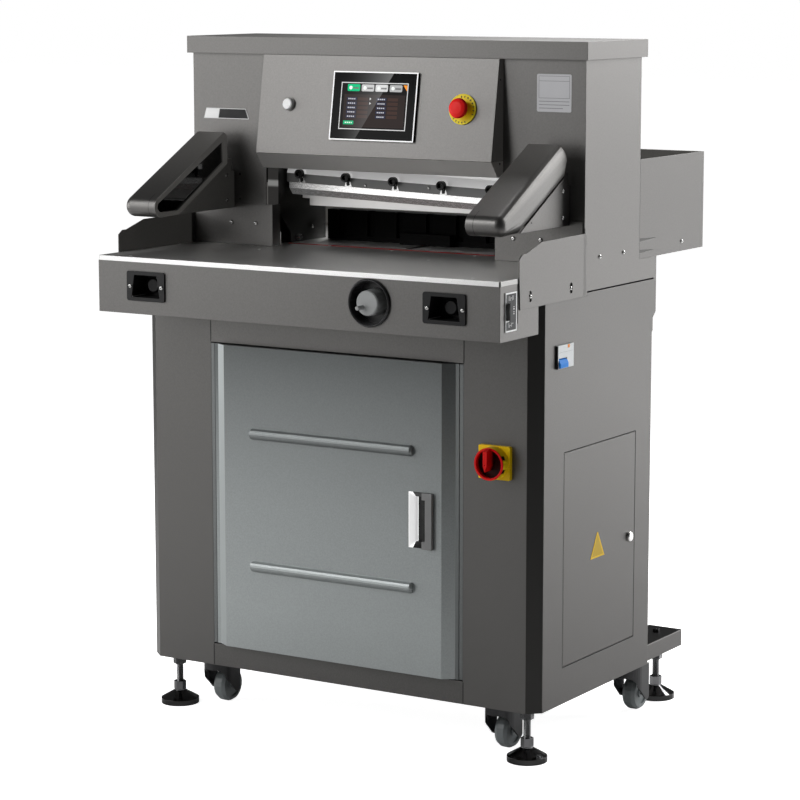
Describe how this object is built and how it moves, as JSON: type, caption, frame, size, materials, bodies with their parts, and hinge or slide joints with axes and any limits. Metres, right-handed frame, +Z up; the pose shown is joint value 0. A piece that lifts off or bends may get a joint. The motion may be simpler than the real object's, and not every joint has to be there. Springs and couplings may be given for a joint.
{
  "type": "electric paper cutter",
  "caption": "Floor-standing hydraulic paper cutter: steel cabinet, work table with side arms, and a head that holds clamp, knife and control screen.",
  "frame": {"origin": "middle of the overall footprint, on the floor", "axes": "+X to the operator's right, +Y from the operator to the rear, +Z up"},
  "size_m": [0.933, 0.877, 1.3765],
  "materials": {
    "body_paint": "fine-textured warm grey powder coat",
    "door_paint": "fine-textured light blue-grey powder coat",
    "table_plate": "smooth dark plated steel",
    "bright_steel": "bright ground steel",
    "foot_steel": "bright plated steel",
    "machined_iron": "machined iron and steel",
    "stick_red": "matt red plastic",
    "black_plastic": "moulded black plastic",
    "grey_plastic": "moulded grey plastic",
    "switch_plate": "white plate with a dark field",
    "screen_black": "glossy black panel",
    "yellow_plastic": "yellow plastic",
    "red_plastic": "glossy red plastic",
    "white_plastic": "white plastic",
    "blue_plastic": "blue plastic",
    "tyre_rubber": "grey rubber",
    "fork_paint": "black painted steel",
    "tank_paint": "smooth blue-grey paint"
  },
  "bodies": {
    "machine": {"base_frame": "body_paint", "cabinet_left_panel": "body_paint", "cabinet_right_panel": "body_paint", "cabinet_front_frame": "body_paint", "cabinet_back_panel": "body_paint", "apron": "body_paint", "head_left_panel": "body_paint", "head_right_panel": "body_paint", "head_back_panel": "body_paint", "cap": "body_paint", "fascia": "body_paint", "cover_left": "body_paint", "cover_right": "body_paint", "arm_bracket_left": "body_paint", "arm_bracket_right": "body_paint", "curtain_arm_left": "body_paint", "curtain_arm_right": "body_paint", "rear_guard": "body_paint", "table_bed": "table_plate", "table_edge_strip": "bright_steel", "press_frame": "machined_iron", "cutting_stick": "stick_red", "start_recess_left": "black_plastic", "start_recess_right": "black_plastic", "handwheel_cup": "black_plastic", "side_switch_plate": "switch_plate", "control_screen": "screen_black", "stop_button_plate": "yellow_plastic", "isolator_plate": "yellow_plastic", "breaker_body": "white_plastic", "hydraulic_unit": "tank_paint"},
    "front_door": {"front_door": "door_paint", "door_pull": "bright_steel"},
    "inspection_door": {"inspection_door": "body_paint"},
    "inspection_lock": {"inspection_lock": "bright_steel"},
    "reset_button": {"start_reset_button": "white_plastic"},
    "stop_button": {"stop_button": "red_plastic"},
    "start_button_left": {"start_button_left": "black_plastic"},
    "start_button_right": {"start_button_right": "black_plastic"},
    "handwheel": {"handwheel": "grey_plastic"},
    "side_rocker": {"side_switch_rocker": "black_plastic"},
    "isolator_knob": {"isolator_knob": "red_plastic"},
    "breaker_toggle": {"breaker_toggle": "blue_plastic"},
    "clamp": {"clamp_beam": "machined_iron"},
    "knife": {"knife_blade": "bright_steel", "knife_carrier": "machined_iron"},
    "back_gauge": {"back_gauge": "machined_iron"},
    "gauge_screw": {"gauge_screw": "bright_steel"},
    "foot_front_left": {"foot_front_left": "foot_steel"},
    "caster_fork_front_left": {"caster_fork_front_left": "fork_paint"},
    "caster_wheel_front_left": {"caster_wheel_front_left": "tyre_rubber"},
    "foot_front_right": {"foot_front_right": "foot_steel"},
    "caster_fork_front_right": {"caster_fork_front_right": "fork_paint"},
    "caster_wheel_front_right": {"caster_wheel_front_right": "tyre_rubber"},
    "foot_rear_left": {"foot_rear_left": "foot_steel"},
    "caster_fork_rear_left": {"caster_fork_rear_left": "fork_paint"},
    "caster_wheel_rear_left": {"caster_wheel_rear_left": "tyre_rubber"},
    "foot_rear_right": {"foot_rear_right": "foot_steel"},
    "caster_fork_rear_right": {"caster_fork_rear_right": "fork_paint"},
    "caster_wheel_rear_right": {"caster_wheel_rear_right": "tyre_rubber"}
  },
  "joints": [
    {"name": "front_door_hinge", "type": "hinge", "parent": "machine", "child": "front_door", "pos_m": [-0.285, -0.2599, 0.461], "axis": [0, 0, -1], "range_deg": [0, 110]},
    {"name": "inspection_door_hinge", "type": "hinge", "parent": "machine", "child": "inspection_door", "pos_m": [0.458, -0.1565, 0.388], "axis": [0, 0, -1], "range_deg": [0, 110]},
    {"name": "inspection_lock_turn", "type": "hinge", "parent": "inspection_door", "child": "inspection_lock", "pos_m": [0.458, 0.1175, 0.3875], "axis": [1, 0, 0], "range_deg": [0, 90]},
    {"name": "reset_button_press", "type": "slide", "parent": "machine", "child": "reset_button", "axis": [0, 0.9878, -0.1557], "range_m": [0, 0.004], "stiffness_N_per_m": 400, "springref_m": -0.002},
    {"name": "stop_button_press", "type": "slide", "parent": "machine", "child": "stop_button", "axis": [0, 0.9878, -0.1557], "range_m": [0, 0.005], "stiffness_N_per_m": 800, "springref_m": -0.002},
    {"name": "start_button_left_press", "type": "slide", "parent": "machine", "child": "start_button_left", "axis": [0, 1, 0], "range_m": [0, 0.004], "stiffness_N_per_m": 400, "springref_m": -0.002},
    {"name": "start_button_right_press", "type": "slide", "parent": "machine", "child": "start_button_right", "axis": [0, 1, 0], "range_m": [0, 0.004], "stiffness_N_per_m": 400, "springref_m": -0.002},
    {"name": "handwheel_turn", "type": "hinge", "parent": "machine", "child": "handwheel", "pos_m": [0.178, -0.4025, 0.8957], "axis": [0, 1, 0], "continuous": true},
    {"name": "side_rocker_tilt", "type": "hinge", "parent": "machine", "child": "side_rocker", "pos_m": [0.4567, -0.3855, 0.89365], "axis": [0, 1, 0], "range_deg": [-8, 8]},
    {"name": "isolator_turn", "type": "hinge", "parent": "machine", "child": "isolator_knob", "pos_m": [0.36705, -0.2675, 0.5884], "axis": [0, 1, 0], "range_deg": [0, 90]},
    {"name": "breaker_toggle_tilt", "type": "hinge", "parent": "machine", "child": "breaker_toggle", "pos_m": [0.457, -0.175, 0.77625], "axis": [0, -1, 0], "range_deg": [0, 50]},
    {"name": "clamp_press", "type": "slide", "parent": "machine", "child": "clamp", "axis": [0, 0, -1], "range_m": [0, 0.08]},
    {"name": "knife_stroke", "type": "slide", "parent": "machine", "child": "knife", "axis": [0.1286, 0, -0.9917], "range_m": [0, 0.0855]},
    {"name": "gauge_travel", "type": "slide", "parent": "machine", "child": "back_gauge", "axis": [0, 1, 0], "range_m": [-0.09, 0.24]},
    {"name": "gauge_screw_turn", "type": "hinge", "parent": "machine", "child": "gauge_screw", "pos_m": [0, 0.1625, 0.912], "axis": [0, 1, 0], "continuous": true},
    {"name": "foot_front_left_screw", "type": "slide", "parent": "machine", "child": "foot_front_left", "axis": [0, 0, 1], "range_m": [-0.012, 0]},
    {"name": "caster_front_left_swivel", "type": "hinge", "parent": "machine", "child": "caster_fork_front_left", "pos_m": [-0.337, -0.1855, 0.095], "axis": [0, 0, 1], "range_deg": [-150, 60]},
    {"name": "caster_front_left_roll", "type": "hinge", "parent": "caster_fork_front_left", "child": "caster_wheel_front_left", "pos_m": [-0.337, -0.1535, 0.0355], "axis": [1, 0, 0], "continuous": true},
    {"name": "foot_front_right_screw", "type": "slide", "parent": "machine", "child": "foot_front_right", "axis": [0, 0, 1], "range_m": [-0.012, 0]},
    {"name": "caster_front_right_swivel", "type": "hinge", "parent": "machine", "child": "caster_fork_front_right", "pos_m": [0.337, -0.1855, 0.095], "axis": [0, 0, 1], "range_deg": [-60, 150]},
    {"name": "caster_front_right_roll", "type": "hinge", "parent": "caster_fork_front_right", "child": "caster_wheel_front_right", "pos_m": [0.337, -0.1535, 0.0355], "axis": [1, 0, 0], "continuous": true},
    {"name": "foot_rear_left_screw", "type": "slide", "parent": "machine", "child": "foot_rear_left", "axis": [0, 0, 1], "range_m": [-0.012, 0]},
    {"name": "caster_rear_left_swivel", "type": "hinge", "parent": "machine", "child": "caster_fork_rear_left", "pos_m": [-0.42, 0.1995, 0.095], "axis": [0, 0, 1], "continuous": true},
    {"name": "caster_rear_left_roll", "type": "hinge", "parent": "caster_fork_rear_left", "child": "caster_wheel_rear_left", "pos_m": [-0.42, 0.2315, 0.0355], "axis": [1, 0, 0], "continuous": true},
    {"name": "foot_rear_right_screw", "type": "slide", "parent": "machine", "child": "foot_rear_right", "axis": [0, 0, 1], "range_m": [-0.012, 0]},
    {"name": "caster_rear_right_swivel", "type": "hinge", "parent": "machine", "child": "caster_fork_rear_right", "pos_m": [0.42, 0.1995, 0.095], "axis": [0, 0, 1], "continuous": true},
    {"name": "caster_rear_right_roll", "type": "hinge", "parent": "caster_fork_rear_right", "child": "caster_wheel_rear_right", "pos_m": [0.42, 0.2315, 0.0355], "axis": [1, 0, 0], "continuous": true}
  ],
  "couplings": [
    {"joint": "gauge_screw_turn", "follows": "gauge_travel", "rad_per_m": 314.16}
  ]
}
